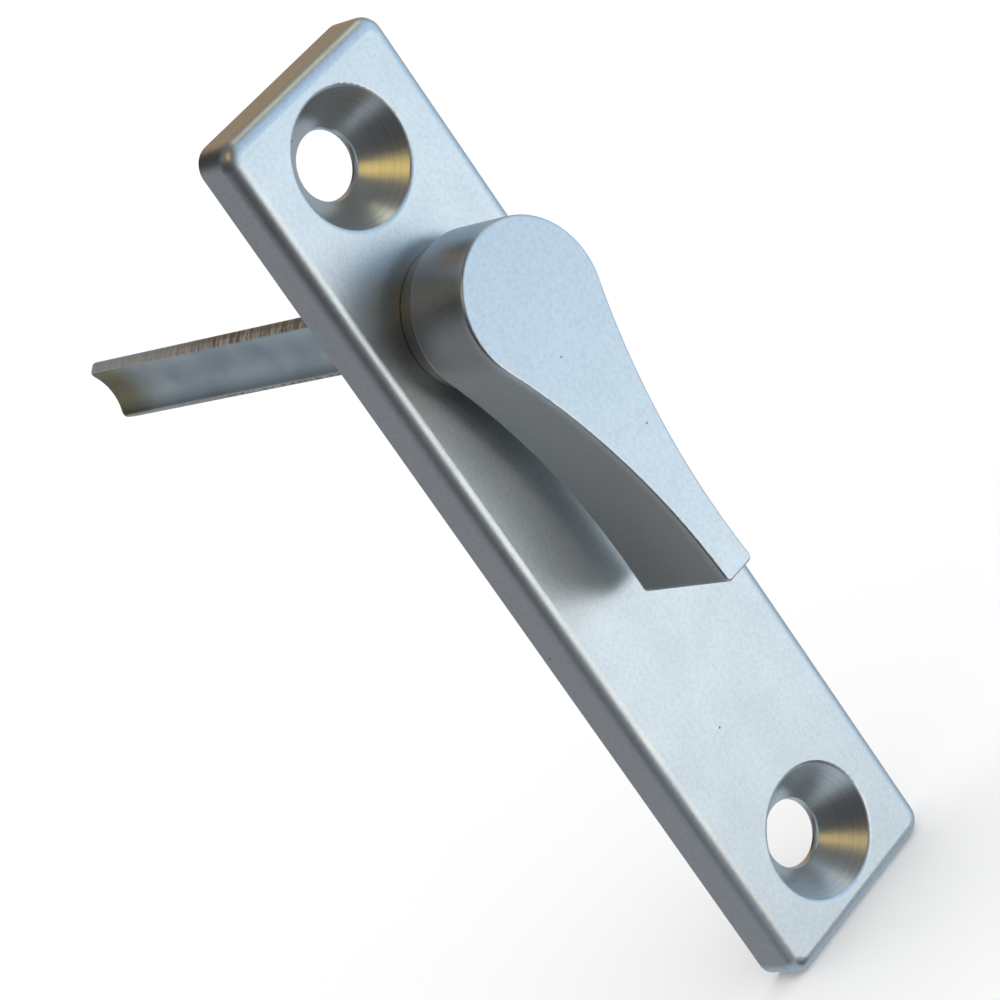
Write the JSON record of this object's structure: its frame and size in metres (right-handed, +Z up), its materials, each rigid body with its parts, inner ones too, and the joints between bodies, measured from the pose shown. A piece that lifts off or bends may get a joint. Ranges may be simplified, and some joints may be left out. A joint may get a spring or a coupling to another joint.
{
  "type": "deadlock thumb turn",
  "caption": "Long face plate with countersunk screw holes and a tapered thumb turn, whose spindle carries a half-moon tail bar that works a deadlock.",
  "frame": {"origin": "on the turn's axis, in the plane of the face plate's back face", "axes": "+X to the right seen from the front, +Y out of the back face and into the door, +Z up along the plate, away from the turn's tip"},
  "size_m": [0.015, 0.0479, 0.065],
  "materials": {
    "satin_chrome_plate": "satin chrome on a die casting, faintly grained",
    "satin_chrome_turn": "satin chrome on a die casting, faintly grained",
    "spring_steel": "bare spring steel, dull",
    "zinc_plated_steel": "zinc plated, semi-bright",
    "zinc_plated_tail": "zinc plated strip with brownish sheared edges"
  },
  "bodies": {
    "plate": {"face_plate": "satin_chrome_plate"},
    "turn": {"thumb_turn": "satin_chrome_turn", "spring_washer": "spring_steel", "backing_washer": "zinc_plated_steel", "retaining_clip": "spring_steel", "tail_pin": "zinc_plated_steel", "tail_bar": "zinc_plated_tail"}
  },
  "joints": [
    {"name": "turn_spin", "type": "hinge", "parent": "plate", "child": "turn", "pos_m": [0, 0, 0], "axis": [0, 1, 0], "continuous": true}
  ]
}
